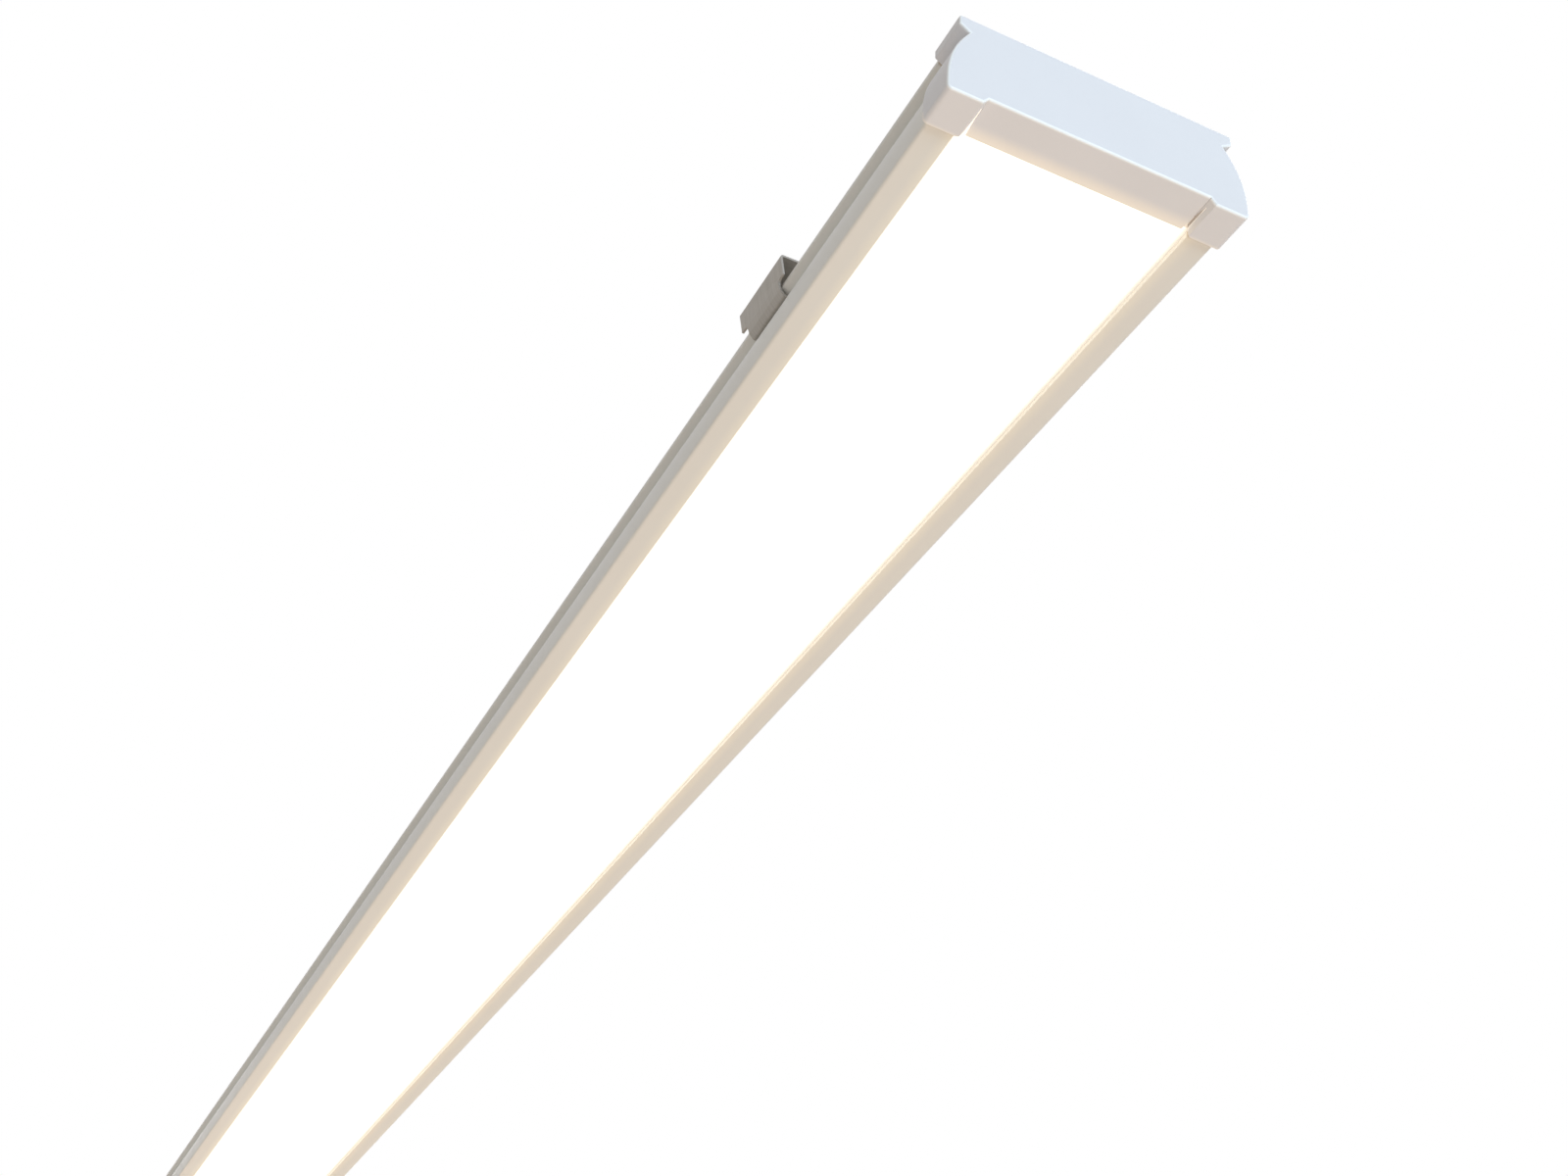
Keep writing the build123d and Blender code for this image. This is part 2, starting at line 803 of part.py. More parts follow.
# LED leads: from the circuit board down through the bush into the lead connector
for lead, side in (("positive", 1), ("negative", -1)):
    with BuildPart() as wire:
        with BuildSketch(level(circuit_bottom)):
            with Locations((lead_x, side * lead_offset)):
                Circle(lead_radius)
        extrude(amount=-(circuit_bottom - board_face + socket_depth - wire_fit))
    save(wire, f"wire_led_{lead}")

# Saddles that hold the mains wires over the tray
with BuildPart() as wire_saddles:
    eye = 2 * (wire_radius + wire_fit)
    for step in range(saddle_count):
        step_x = saddle_x + (step - (saddle_count - 1) / 2) * saddle_spacing
        with BuildSketch(section(step_x - saddle_length / 2)):
            for pole in ("live", "neutral"):
                with Locations((poles[pole], tray_top)):
                    Rectangle(
                        eye + 2 * saddle_wall,
                        pole_height + eye / 2 + saddle_wall,
                        align=(Align.CENTER, Align.MIN),
                    )
                with Locations((poles[pole], wire_level)):
                    Rectangle(eye, eye, mode=Mode.SUBTRACT)
        extrude(amount=saddle_length)
    chamfer(wire_saddles.edges().filter_by(Axis.X).group_by(Axis.Z)[-1], length=edge_break)
save(wire_saddles, "wire_saddles")


# Spring clip: folded strip whose arms lean in and hook under the housing's lips
def make_clip(x):
    arm_low = lip_half + arm_clearance + clip_sheet
    arm_high = arm_low + arm_flare
    hook_end = groove_y + hook_tip_gap
    lip_slope = (lip_low - groove_height) / (lip_half - groove_y)
    hook_height = groove_height + hook_tip_gap * lip_slope - hook_clearance - clip_sheet
    arm_slope = arm_flare / (clip_top - lip_low)
    half_strip = [
        (arm_high, clip_top),
        (arm_low + arm_slope * arm_curl_height, lip_low + arm_curl_height),
        (arm_low - arm_curl, lip_low - arm_curl_height),
        (hook_end + hook_tip_length, hook_height - hook_tip_rise),
        (hook_end, hook_height),
    ]
    strip = [(-y, height) for y, height in reversed(half_strip)] + half_strip
    with BuildPart() as clip:
        with BuildLine():
            outside = FilletPolyline(
                *[spot(x, y, height) for y, height in strip], radius=clip_bend + clip_sheet
            )
        with BuildSketch(Plane(outside @ 0, x_dir=(1, 0, 0), z_dir=outside % 0)):
            Rectangle(clip_width, clip_sheet, align=(Align.CENTER, Align.MIN))
        sweep()
        # shoulders, where the wide arm steps in to the tongue
        cut = (clip_width - tongue_width) / 2
        with BuildSketch(Plane.XZ) as notches:
            with Locations((x, light_bottom + clip_top - shoulder_drop)):
                with GridLocations(clip_width - cut, 1, 2, 1):
                    Rectangle(cut, light_height, align=(Align.CENTER, Align.MAX))
            corners = notches.vertices().group_by(Axis.Y)[-1]
            fillet(corners.sort_by(lambda corner: abs(corner.X - x))[:2], radius=shoulder_round)
        extrude(amount=light_width, both=True, mode=Mode.SUBTRACT)
        with BuildSketch(level(clip_top)):
            with Locations((x, 0)):
                with GridLocations(1, clip_hole_spacing, 1, 2):
                    Circle(clip_hole_radius)
        extrude(amount=-clip_sheet, mode=Mode.SUBTRACT)
    return clip


for end_name, end in ends.items():
    save(make_clip(end * (light_length / 2 - clip_inset)), f"mounting_clip_{end_name}")
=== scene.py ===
import bmesh
import bpy
import math
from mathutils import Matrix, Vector


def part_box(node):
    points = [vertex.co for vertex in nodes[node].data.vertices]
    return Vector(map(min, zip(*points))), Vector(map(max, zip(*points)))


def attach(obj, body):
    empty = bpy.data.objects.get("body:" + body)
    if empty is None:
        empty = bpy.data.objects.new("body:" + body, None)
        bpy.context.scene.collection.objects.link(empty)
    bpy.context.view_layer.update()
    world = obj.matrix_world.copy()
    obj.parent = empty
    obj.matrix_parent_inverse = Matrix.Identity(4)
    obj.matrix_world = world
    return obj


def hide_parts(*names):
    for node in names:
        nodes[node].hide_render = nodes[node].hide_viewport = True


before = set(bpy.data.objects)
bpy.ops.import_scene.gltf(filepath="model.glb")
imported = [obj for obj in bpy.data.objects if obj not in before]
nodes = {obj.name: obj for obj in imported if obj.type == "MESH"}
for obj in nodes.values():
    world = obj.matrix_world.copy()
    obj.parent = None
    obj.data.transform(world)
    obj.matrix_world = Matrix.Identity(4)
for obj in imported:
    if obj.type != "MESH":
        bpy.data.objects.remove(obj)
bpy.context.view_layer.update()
print("frame loaded:", len(nodes), "nodes")

# places that several finishes share, in metres, read off the frame
batten = {"capDepth": 0.0108, "panelInset": 0.0094, "panelRise": 0.0016, "railWidth": 0.0069}
hair = 0.00005  # keeps a limit just clear of the face that it follows
capLow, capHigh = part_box("end_cap_far")
endFace = capHigh.x
capBack = endFace - batten["capDepth"]
panelHalf = capHigh.y - batten["panelInset"]
panelFace = capLow.z + batten["panelRise"]
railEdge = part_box("housing")[1].y - batten["railWidth"]
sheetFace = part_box("diffuser")[0].z
chipLow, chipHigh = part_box("led_chips_far_left")
chipMiddle = (chipLow + chipHigh) / 2
lampRow = chipMiddle.y


# camera, set up as the picture was taken: below the light, near its end, looking up along it
camera = {
    "place": (-0.82547, 0.16202, -0.34682),
    "turn": (126.218, -3.529, -115.8),  # degrees
    "lens": 44.33,
    "sensor": 36.0,
    "clipStart": 0.01,
}
cameraData = bpy.data.cameras.new("camera")
cameraData.lens = camera["lens"]
cameraData.sensor_width = camera["sensor"]
cameraData.clip_start = camera["clipStart"]
cameraObject = bpy.data.objects.new("camera", cameraData)
cameraObject.location = camera["place"]
cameraObject.rotation_euler = [math.radians(a) for a in camera["turn"]]
bpy.context.scene.collection.objects.link(cameraObject)
bpy.context.scene.camera = cameraObject
bpy.context.scene.view_settings.view_transform = "Standard"
print("camera placed")


def linear(hexColour):  # sRGB hex to linear colour
    steps = [int(hexColour[i:i + 2], 16) / 255 for i in (1, 3, 5)]
    return [c / 12.92 if c <= 0.04045 else ((c + 0.055) / 1.055) ** 2.4 for c in steps] + [1.0]


def perMm(size):  # texture scale for a detail of this size in mm, on coordinates in metres
    return 1000.0 / size


def addNode(tree, kind, settings=None, **sockets):  # a socket takes a value or (node, output)
    node = tree.nodes.new(kind)
    for name, value in (settings or {}).items():
        setattr(node, name, value)
    for name, value in sockets.items():
        numbered = name[0] == "i" and name[1:].isdigit()
        socket = node.inputs[int(name[1:]) if numbered else name.replace("_", " ")]
        if isinstance(value, tuple) and isinstance(value[0], bpy.types.Node):
            tree.links.new(value[0].outputs[value[1]], socket)
        else:
            socket.default_value = value
    return node


def startMaterial(name, **values):  # new material, its tree and its shader with fixed values set
    material = bpy.data.materials.new(name)
    material.use_nodes = True
    tree = material.node_tree
    shader = tree.nodes["Principled BSDF"]
    for key, value in values.items():
        shader.inputs[key.replace("_", " ")].default_value = value
    return material, tree, shader


def feed(tree, shader, **sockets):  # links node outputs to the shader's sockets
    for name, (node, output) in sockets.items():
        tree.links.new(node.outputs[output], shader.inputs[name.replace("_", " ")])


def dress(material, *names):  # gives CAD nodes this material alone
    for name in names:
        mesh = nodes[name].data
        mesh.materials.clear()
        mesh.materials.append(material)


# settings that many nodes share
absolute = {"operation": "ABSOLUTE"}
subtract = {"operation": "SUBTRACT"}
multiply = {"operation": "MULTIPLY"}
multiplyAdd = {"operation": "MULTIPLY_ADD"}
larger = {"operation": "MAXIMUM"}
lessThan = {"operation": "LESS_THAN"}
moreThan = {"operation": "GREATER_THAN"}
within = {"operation": "COMPARE"}
colours = {"data_type": "RGBA"}
smooth = {"interpolation_type": "SMOOTHSTEP"}
noiseSpan = (0.3, 0.7)  # where nearly all of a noise's values lie

# in the finishes below, pattern sizes are in mm, and places and bump depths in metres

# powder-coated aluminium, extruded then sprayed: satin white, fine orange peel, faint die lines along it,
# a painted warm glow where the rails meet the lit sheet, a painted shadow line against the caps
coat = {
    "colour": "#EDEBE6", "worn": "#E7E4DE", "rough": (0.38, 0.5), "drift": 55.0, "driftDetail": 3.0,
    "peel": 0.8, "peelDetail": 1.5, "peelBump": 0.14, "bumpDepth": 0.00008,
    "dieLine": (1500.0, 0.9), "dieDetail": 1.0, "dieBump": 0.08,  # size along and across the light
    "spillColour": "#FFDC86", "spillLevel": 0.1, "spillTop": sheetFace + 3 * hair,
    "spillFrom": railEdge + 0.0034, "spillTo": railEdge - 0.0005,
    # painted shadow: a darker line on the coat just behind each cap's collar
    "shade": "#BBA893", "shadeFrom": capBack - 0.0013, "shadeTo": capBack - 0.0003,
}
coatPaint, tree, shader = startMaterial("powderCoatedAluminium", Emission_Color=linear(coat["spillColour"]))
place = addNode(tree, "ShaderNodeTexCoord")
drift = addNode(tree, "ShaderNodeTexNoise", Vector=(place, "Object"),
                Scale=perMm(coat["drift"]), Detail=coat["driftDetail"])
tone = addNode(tree, "ShaderNodeMix", colours, i0=(drift, 0),
               i6=linear(coat["colour"]), i7=linear(coat["worn"]))
peel = addNode(tree, "ShaderNodeTexNoise", Vector=(place, "Object"),
               Scale=perMm(coat["peel"]), Detail=coat["peelDetail"])
run, across = coat["dieLine"]
drawn = addNode(tree, "ShaderNodeMapping", Vector=(place, "Object"),
                Scale=(perMm(run), perMm(across), perMm(across)))
dieLines = addNode(tree, "ShaderNodeTexNoise", Vector=(drawn, 0), Scale=1.0, Detail=coat["dieDetail"])
rough = addNode(tree, "ShaderNodeMapRange", Value=(peel, 0), From_Min=noiseSpan[0], From_Max=noiseSpan[1],
                To_Min=coat["rough"][0], To_Max=coat["rough"][1])
lineBump = addNode(tree, "ShaderNodeBump", Height=(dieLines, 0),
                   Strength=coat["dieBump"], Distance=coat["bumpDepth"])
skin = addNode(tree, "ShaderNodeBump", Height=(peel, 0), Normal=(lineBump, 0),
               Strength=coat["peelBump"], Distance=coat["bumpDepth"])
axes = addNode(tree, "ShaderNodeSeparateXYZ", Vector=(place, "Object"))
sideways = addNode(tree, "ShaderNodeMath", absolute, i0=(axes, "Y"))
# painted light: a warm glow on the rails beside the sheet's edge, given as emission
spill = addNode(tree, "ShaderNodeMapRange", smooth, Value=(sideways, 0),
                From_Min=coat["spillFrom"], From_Max=coat["spillTo"],
                To_Min=0.0, To_Max=coat["spillLevel"])
below = addNode(tree, "ShaderNodeMath", lessThan, i0=(axes, "Z"), i1=coat["spillTop"])
glow = addNode(tree, "ShaderNodeMath", multiply, i0=(spill, 0), i1=(below, 0))
along = addNode(tree, "ShaderNodeMath", absolute, i0=(axes, "X"))
# painted shadow line where the caps' collars overlap the rails
byCap = addNode(tree, "ShaderNodeMapRange", smooth, Value=(along, 0),
                From_Min=coat["shadeFrom"], From_Max=coat["shadeTo"])
coatTone = addNode(tree, "ShaderNodeMix", colours, i0=(byCap, 0), i6=(tone, 2), i7=linear(coat["shade"]))
feed(tree, shader, Base_Color=(coatTone, 2), Roughness=(rough, 0), Normal=(skin, 0),
     Emission_Strength=(glow, 0))
dress(coatPaint, "housing")

# opal acrylic sheet, extruded and lit from behind by two rows of lamps: even white light,
# a touch brighter over each row, painted shade at its edges behind the caps and before the rails, and a
# faint pebble in the surface
opal = {
    "colour": "#FBFAF6", "rough": 0.42, "ior": 1.49,
    "light": "#FFF6EA", "rowLevel": 1.38, "level": 1.22, "spread": 0.013,
    "pebble": 0.7, "pebbleDetail": 1.0, "bump": 0.1, "bumpDepth": 0.00005,
    # painted shade: the sheet's light dimmed in the corners behind the caps
    "dimFrom": panelHalf - 0.0005, "dimTo": panelHalf - 0.0001, "dimLevel": 0.1,  # corners behind the caps
    # painted shade: the sheet's light fading over the last millimetres before the rails
    "soften": 0.0024, "edgeLevel": 0.2,  # the last millimetres before the rails
}
opalSheet, tree, shader = startMaterial(
    "opalAcrylicExtruded", Base_Color=linear(opal["colour"]), Roughness=opal["rough"], IOR=opal["ior"],
    Emission_Color=linear(opal["light"]))
place = addNode(tree, "ShaderNodeTexCoord")
axes = addNode(tree, "ShaderNodeSeparateXYZ", Vector=(place, "Object"))
sideways = addNode(tree, "ShaderNodeMath", absolute, i0=(axes, "Y"))
fromRow = addNode(tree, "ShaderNodeMath", subtract, i0=(sideways, 0), i1=lampRow)
offRow = addNode(tree, "ShaderNodeMath", absolute, i0=(fromRow, 0))
level = addNode(tree, "ShaderNodeMapRange", smooth, Value=(offRow, 0), From_Min=0.0, From_Max=opal["spread"],
                To_Min=opal["rowLevel"], To_Max=opal["level"])
along = addNode(tree, "ShaderNodeMath", absolute, i0=(axes, "X"))
covered = addNode(tree, "ShaderNodeMath", moreThan, i0=(along, 0), i1=capBack)
edge = addNode(tree, "ShaderNodeMapRange", Value=(sideways, 0),
               From_Min=opal["dimFrom"], From_Max=opal["dimTo"])
corner = addNode(tree, "ShaderNodeMath", multiply, i0=(covered, 0), i1=(edge, 0))
kept = addNode(tree, "ShaderNodeMapRange", Value=(corner, 0), To_Min=1.0, To_Max=opal["dimLevel"])
beside = addNode(tree, "ShaderNodeMapRange", smooth, Value=(sideways, 0),
                 From_Min=railEdge - opal["soften"], From_Max=railEdge, To_Min=1.0, To_Max=opal["edgeLevel"])
faded = addNode(tree, "ShaderNodeMath", multiply, i0=(level, 0), i1=(beside, 0))
light = addNode(tree, "ShaderNodeMath", multiply, i0=(faded, 0), i1=(kept, 0))
pebble = addNode(tree, "ShaderNodeTexNoise", Vector=(place, "Object"),
                 Scale=perMm(opal["pebble"]), Detail=opal["pebbleDetail"])
skin = addNode(tree, "ShaderNodeBump", Height=(pebble, 0), Strength=opal["bump"], Distance=opal["bumpDepth"])
feed(tree, shader, Emission_Strength=(light, 0), Normal=(skin, 0))
dress(opalSheet, "diffuser")

# ABS, injection moulded in a spark-eroded tool: soft matt white with a fine grain, a painted highlight as a
# whiter rim round the end face, and a painted warm glow where the sheet's light comes through the edges of
# the panel and blocks
cap = {
    "colour": "#EAE8EA", "flow": "#E4E2E4", "rough": (0.4, 0.55), "ior": 1.53,
    "flowSize": 22.0, "flowDetail": 2.0,
    "spark": 0.45, "sparkDetail": 3.0, "bump": 0.16, "bumpDepth": 0.00006,
    # painted highlight: the rim's whiter colour
    "rim": "#FCFCFB", "rimFrom": endFace - 0.0009, "rimTo": endFace - 0.0004,
    "rimTurn": (0.99, 0.9),  # how far a face looks along the light, from flat to rounded
    # painted glow near the sheet, given as emission
    "spillColour": "#FFD98A", "panelSpill": 0.0044, "panelLevel": 0.2,
    "blockSpill": 0.0009, "blockLevel": 0.1,
    # painted glow on the blocks' walls beside the sheet
    "wallSpill": 0.006, "wallLevel": (0.04, 0.12),  # the blocks' walls beside the sheet
    # painted light on the panel's walls in the slits, painted shade on the blocks' walls there
    "slitColour": "#FFF4E0", "slitLevel": 0.8, "slitShade": "#8B8078",
    "sideWall": 0.018,  # least y times the normal's y on a wall that faces outwards
}
capPlastic, tree, shader = startMaterial("absMoulded", IOR=cap["ior"])
place = addNode(tree, "ShaderNodeTexCoord")
flow = addNode(tree, "ShaderNodeTexNoise", Vector=(place, "Object"),
               Scale=perMm(cap["flowSize"]), Detail=cap["flowDetail"])
tone = addNode(tree, "ShaderNodeMix", colours, i0=(flow, 0),
               i6=linear(cap["colour"]), i7=linear(cap["flow"]))
spark = addNode(tree, "ShaderNodeTexNoise", Vector=(place, "Object"),
                Scale=perMm(cap["spark"]), Detail=cap["sparkDetail"])
rough = addNode(tree, "ShaderNodeMapRange", Value=(spark, 0), From_Min=noiseSpan[0], From_Max=noiseSpan[1],
                To_Min=cap["rough"][0], To_Max=cap["rough"][1])
skin = addNode(tree, "ShaderNodeBump", Height=(spark, 0), Strength=cap["bump"], Distance=cap["bumpDepth"])
axes = addNode(tree, "ShaderNodeSeparateXYZ", Vector=(place, "Object"))
along = addNode(tree, "ShaderNodeMath", absolute, i0=(axes, "X"))
sideways = addNode(tree, "ShaderNodeMath", absolute, i0=(axes, "Y"))
# painted glow: light that spills over the back edges of the panel and the blocks, given as emission
spill = addNode(tree, "ShaderNodeMapRange", smooth, Value=(along, 0),
                From_Min=capBack + cap["panelSpill"], From_Max=capBack, To_Min=0.0, To_Max=cap["panelLevel"])
inside = addNode(tree, "ShaderNodeMath", lessThan, i0=(sideways, 0), i1=panelHalf)
below = addNode(tree, "ShaderNodeMath", lessThan, i0=(axes, "Z"), i1=sheetFace - hair)
onPanel = addNode(tree, "ShaderNodeMath", multiply, i0=(inside, 0), i1=(below, 0))
panelGlow = addNode(tree, "ShaderNodeMath", multiply, i0=(spill, 0), i1=(onPanel, 0))
blockBack = addNode(tree, "ShaderNodeMapRange", smooth, Value=(along, 0),
                    From_Min=capBack + cap["blockSpill"], From_Max=capBack,
                    To_Min=0.0, To_Max=cap["blockLevel"])
blockGlow = addNode(tree, "ShaderNodeMath", multiply, i0=(blockBack, 0), i1=(below, 0))
spillGlow = addNode(tree, "ShaderNodeMath", larger, i0=(panelGlow, 0), i1=(blockGlow, 0))
# the slits: the panel's walls lit by a painted glow, the blocks' walls given painted shade above the panel's
# face and a painted warm glow below it
facing = addNode(tree, "ShaderNodeNewGeometry")
lean = addNode(tree, "ShaderNodeSeparateXYZ", Vector=(facing, "Normal"))
outward = addNode(tree, "ShaderNodeMath", multiply, i0=(axes, "Y"), i1=(lean, "Y"))
wall = addNode(tree, "ShaderNodeMath", moreThan, i0=(outward, 0), i1=cap["sideWall"])
slitWall = addNode(tree, "ShaderNodeMath", multiply, i0=(wall, 0), i1=(onPanel, 0))
slitGlow = addNode(tree, "ShaderNodeMath", multiply, i0=(slitWall, 0), i1=cap["slitLevel"])
inward = addNode(tree, "ShaderNodeMath", lessThan, i0=(outward, 0), i1=-cap["sideWall"])
lowWall = addNode(tree, "ShaderNodeMath", multiply, i0=(inward, 0), i1=(below, 0))
inSlit = addNode(tree, "ShaderNodeMath", moreThan, i0=(axes, "Z"), i1=panelFace - hair)
shaded = addNode(tree, "ShaderNodeMath", multiply, i0=(lowWall, 0), i1=(inSlit, 0))
onBlock = addNode(tree, "ShaderNodeMath", subtract, i0=(lowWall, 0), i1=(shaded, 0))
wallSpill = addNode(tree, "ShaderNodeMapRange", smooth, Value=(along, 0),
                    From_Min=capBack + cap["wallSpill"], From_Max=capBack,
                    To_Min=cap["wallLevel"][0], To_Max=cap["wallLevel"][1])
wallGlow = addNode(tree, "ShaderNodeMath", multiply, i0=(wallSpill, 0), i1=(onBlock, 0))
edgeGlow = addNode(tree, "ShaderNodeMath", larger, i0=(spillGlow, 0), i1=(slitGlow, 0))
glow = addNode(tree, "ShaderNodeMath", larger, i0=(edgeGlow, 0), i1=(wallGlow, 0))
glowTone = addNode(tree, "ShaderNodeMix", colours, i0=(slitWall, 0),
                   i6=linear(cap["spillColour"]), i7=linear(cap["slitColour"]))
# painted highlight on the rim, where a face near the end turns away from it
endOn = addNode(tree, "ShaderNodeMath", absolute, i0=(lean, "X"))
turned = addNode(tree, "ShaderNodeMapRange", Value=(endOn, 0),
                 From_Min=cap["rimTurn"][0], From_Max=cap["rimTurn"][1])
nearFace = addNode(tree, "ShaderNodeMapRange", Value=(along, 0),
                   From_Min=cap["rimFrom"], From_Max=cap["rimTo"])
onRim = addNode(tree, "ShaderNodeMath", multiply, i0=(turned, 0), i1=(nearFace, 0))
rimHighlightTone = addNode(tree, "ShaderNodeMix", colours, i0=(onRim, 0), i6=(tone, 2), i7=linear(cap["rim"]))
# painted shade on the blocks' walls inside the slits
fullTone = addNode(tree, "ShaderNodeMix", colours, i0=(shaded, 0),
                   i6=(rimHighlightTone, 2), i7=linear(cap["slitShade"]))
feed(tree, shader, Base_Color=(fullTone, 2), Roughness=(rough, 0), Normal=(skin, 0),
     Emission_Color=(glowTone, 2), Emission_Strength=(glow, 0))
dress(capPlastic, "end_cap_near", "end_cap_far")

# spring steel strip, cold rolled and stamped: dull grey, streaked along the rolling direction
spring = {
    "colour": "#BCB7B1", "streak": "#AFAAA3", "metallic": 0.25, "rough": (0.5, 0.64),
    "streakSize": (0.5, 9.0), "streakDetail": 3.0, "bump": 0.1, "bumpDepth": 0.00004,
    "cloud": 7.0, "cloudDetail": 2.0, "cloudShare": 0.5, "mixSpan": (0.5, 1.05),
}
springSteel, tree, shader = startMaterial("springSteelRolled", Metallic=spring["metallic"])
place = addNode(tree, "ShaderNodeTexCoord")
wide, long = spring["streakSize"]
rolled = addNode(tree, "ShaderNodeMapping", Vector=(place, "Object"),
                 Scale=(perMm(wide), perMm(long), perMm(long)))
streaks = addNode(tree, "ShaderNodeTexNoise", Vector=(rolled, 0), Scale=1.0, Detail=spring["streakDetail"])
cloud = addNode(tree, "ShaderNodeTexNoise", Vector=(place, "Object"),
                Scale=perMm(spring["cloud"]), Detail=spring["cloudDetail"])
both = addNode(tree, "ShaderNodeMath", multiplyAdd, i0=(cloud, 0), i1=spring["cloudShare"], i2=(streaks, 0))
share = addNode(tree, "ShaderNodeMapRange", Value=(both, 0),
                From_Min=spring["mixSpan"][0], From_Max=spring["mixSpan"][1])
tone = addNode(tree, "ShaderNodeMix", colours, i0=(share, 0),
               i6=linear(spring["colour"]), i7=linear(spring["streak"]))
rough = addNode(tree, "ShaderNodeMapRange", Value=(streaks, 0), From_Min=noiseSpan[0], From_Max=noiseSpan[1],
                To_Min=spring["rough"][0], To_Max=spring["rough"][1])
skin = addNode(tree, "ShaderNodeBump", Height=(streaks, 0),
               Strength=spring["bump"], Distance=spring["bumpDepth"])
feed(tree, shader, Base_Color=(tone, 2), Roughness=(rough, 0), Normal=(skin, 0))
dress(springSteel, "mounting_clip_near", "mounting_clip_far")

# nitrile rubber, moulded: matt black with a dusty bloom
rubber = {
    "colour": "#232324", "bloom": "#343335", "rough": 0.68, "ior": 1.52,
    "bloomSize": 4.0, "bloomDetail": 4.0,
    "grain": 0.35, "grainDetail": 2.0, "bump": 0.2, "bumpDepth": 0.00006,
}
nitrile, tree, shader = startMaterial("nitrileRubberMoulded", Roughness=rubber["rough"], IOR=rubber["ior"])
place = addNode(tree, "ShaderNodeTexCoord")
bloom = addNode(tree, "ShaderNodeTexNoise", Vector=(place, "Object"),
                Scale=perMm(rubber["bloomSize"]), Detail=rubber["bloomDetail"])
tone = addNode(tree, "ShaderNodeMix", colours, i0=(bloom, 0),
               i6=linear(rubber["colour"]), i7=linear(rubber["bloom"]))
grain = addNode(tree, "ShaderNodeTexNoise", Vector=(place, "Object"),
                Scale=perMm(rubber["grain"]), Detail=rubber["grainDetail"])
skin = addNode(tree, "ShaderNodeBump", Height=(grain, 0),
               Strength=rubber["bump"], Distance=rubber["bumpDepth"])
feed(tree, shader, Base_Color=(tone, 2), Normal=(skin, 0))
dress(nitrile, "cable_grommet", "tray_bush")

# galvanised sheet steel, hot dipped: pale grey spangle, each crystal a little lighter or darker
tray = {"dark": "#A7ACB0", "light": "#C9CDCF", "spangle": 6.0, "rough": (0.32, 0.5)}
galvanised, tree, shader = startMaterial("galvanisedSteelSheet", Metallic=1.0)
place = addNode(tree, "ShaderNodeTexCoord")
spangle = addNode(tree, "ShaderNodeTexVoronoi", Vector=(place, "Object"), Scale=perMm(tray["spangle"]))
crystal = addNode(tree, "ShaderNodeSeparateColor", Color=(spangle, "Color"))
tone = addNode(tree, "ShaderNodeMix", colours, i0=(crystal, 0),
               i6=linear(tray["dark"]), i7=linear(tray["light"]))
rough = addNode(tree, "ShaderNodeMapRange", Value=(crystal, 1),
                To_Min=tray["rough"][0], To_Max=tray["rough"][1])
feed(tree, shader, Base_Color=(tone, 2), Roughness=(rough, 0))
dress(galvanised, "gear_tray")

# lamp boards, aluminium core under white solder mask: glossy white, the tracks just showing
board = {
    "mask": "#F4F5F2", "track": "#DDE3DA", "rough": 0.34, "trackAt": 0.0032, "trackHalf": 0.0007,
    "ripple": 1.6, "rippleDetail": 1.0, "rippleShare": 0.2, "bump": 0.3, "bumpDepth": 0.00004,
}
solderMask, tree, shader = startMaterial("whiteSolderMask", Roughness=board["rough"])
place = addNode(tree, "ShaderNodeTexCoord")
axes = addNode(tree, "ShaderNodeSeparateXYZ", Vector=(place, "Object"))
sideways = addNode(tree, "ShaderNodeMath", absolute, i0=(axes, "Y"))
fromRow = addNode(tree, "ShaderNodeMath", subtract, i0=(sideways, 0), i1=lampRow)
offRow = addNode(tree, "ShaderNodeMath", absolute, i0=(fromRow, 0))
track = addNode(tree, "ShaderNodeMath", within, i0=(offRow, 0), i1=board["trackAt"], i2=board["trackHalf"])
tone = addNode(tree, "ShaderNodeMix", colours, i0=(track, 0),
               i6=linear(board["mask"]), i7=linear(board["track"]))
ripple = addNode(tree, "ShaderNodeTexNoise", Vector=(place, "Object"),
                 Scale=perMm(board["ripple"]), Detail=board["rippleDetail"])
height = addNode(tree, "ShaderNodeMath", multiplyAdd, i0=(ripple, 0), i1=board["rippleShare"], i2=(track, 0))
skin = addNode(tree, "ShaderNodeBump", Height=(height, 0),
               Strength=board["bump"], Distance=board["bumpDepth"])
feed(tree, shader, Base_Color=(tone, 2), Normal=(skin, 0))
boardNames = [f"led_board_{end}_{side}" for end in ("near", "far") for side in ("left", "right")]
dress(solderMask, *boardNames)

# surface-mount lamps, moulded body with a phosphor-filled window: white rim, yellow pool, lit
chip = {
    "body": "#F3F1EA", "phosphor": "#F4D25A", "rough": 0.4, "light": "#FFEFD6", "level": 1.0,
    "pitch": 0.0125, "windowHalf": (0.0013, 0.001),  # along and across the row
    "grain": 0.2, "grainDetail": 1.0, "bump": 0.1, "bumpDepth": 0.00003,
}
ledBody, tree, shader = startMaterial(
    "ledPackagePhosphor", Roughness=chip["rough"], Emission_Color=linear(chip["light"]))
place = addNode(tree, "ShaderNodeTexCoord")
axes = addNode(tree, "ShaderNodeSeparateXYZ", Vector=(place, "Object"))
along = addNode(tree, "ShaderNodeMath", absolute, i0=(axes, "X"))
shifted = addNode(tree, "ShaderNodeMath", subtract, i0=(along, 0), i1=chipMiddle.x)
offChip = addNode(tree, "ShaderNodeMath", {"operation": "PINGPONG"}, i0=(shifted, 0), i1=chip["pitch"] / 2)
sideways = addNode(tree, "ShaderNodeMath", absolute, i0=(axes, "Y"))
